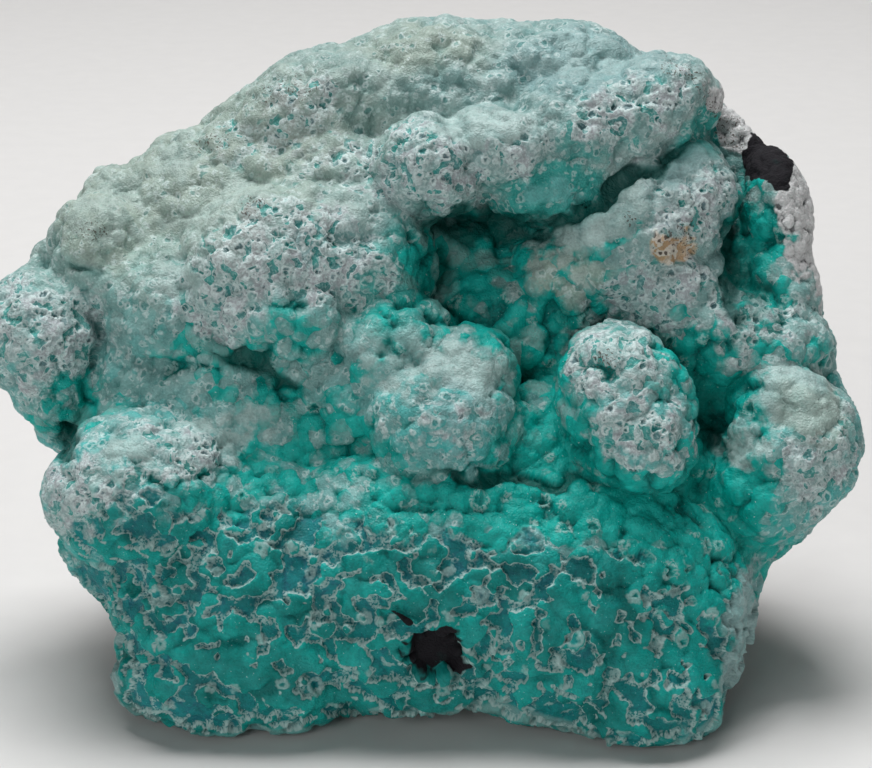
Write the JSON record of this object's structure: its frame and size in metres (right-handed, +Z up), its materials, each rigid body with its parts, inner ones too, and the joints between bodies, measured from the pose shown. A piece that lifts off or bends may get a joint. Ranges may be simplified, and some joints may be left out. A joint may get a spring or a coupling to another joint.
{
  "type": "smithsonite specimen",
  "caption": "Standing hand specimen of blue-green smithsonite: rounded crusted lobes above a flatter etched face, hollows lined with druse, broken host rock behind.",
  "frame": {"origin": "on the floor, under the middle of the specimen's bounding box", "axes": "+X across the face to the viewer's right, +Y back into the rock, so the face looks towards -Y and leans back, +Z up"},
  "size_m": [0.0844, 0.0497, 0.061],
  "materials": {
    "smithsonite": "waxy blue-green mineral crust, pale and pitted on the lobes, saturated teal and sparkling in the hollows",
    "host_rock": "matt broken rock, pale grey with black and rusty stains"
  },
  "bodies": {
    "root": {"smithsonite_specimen": "smithsonite"}
  },
  "joints": []
}
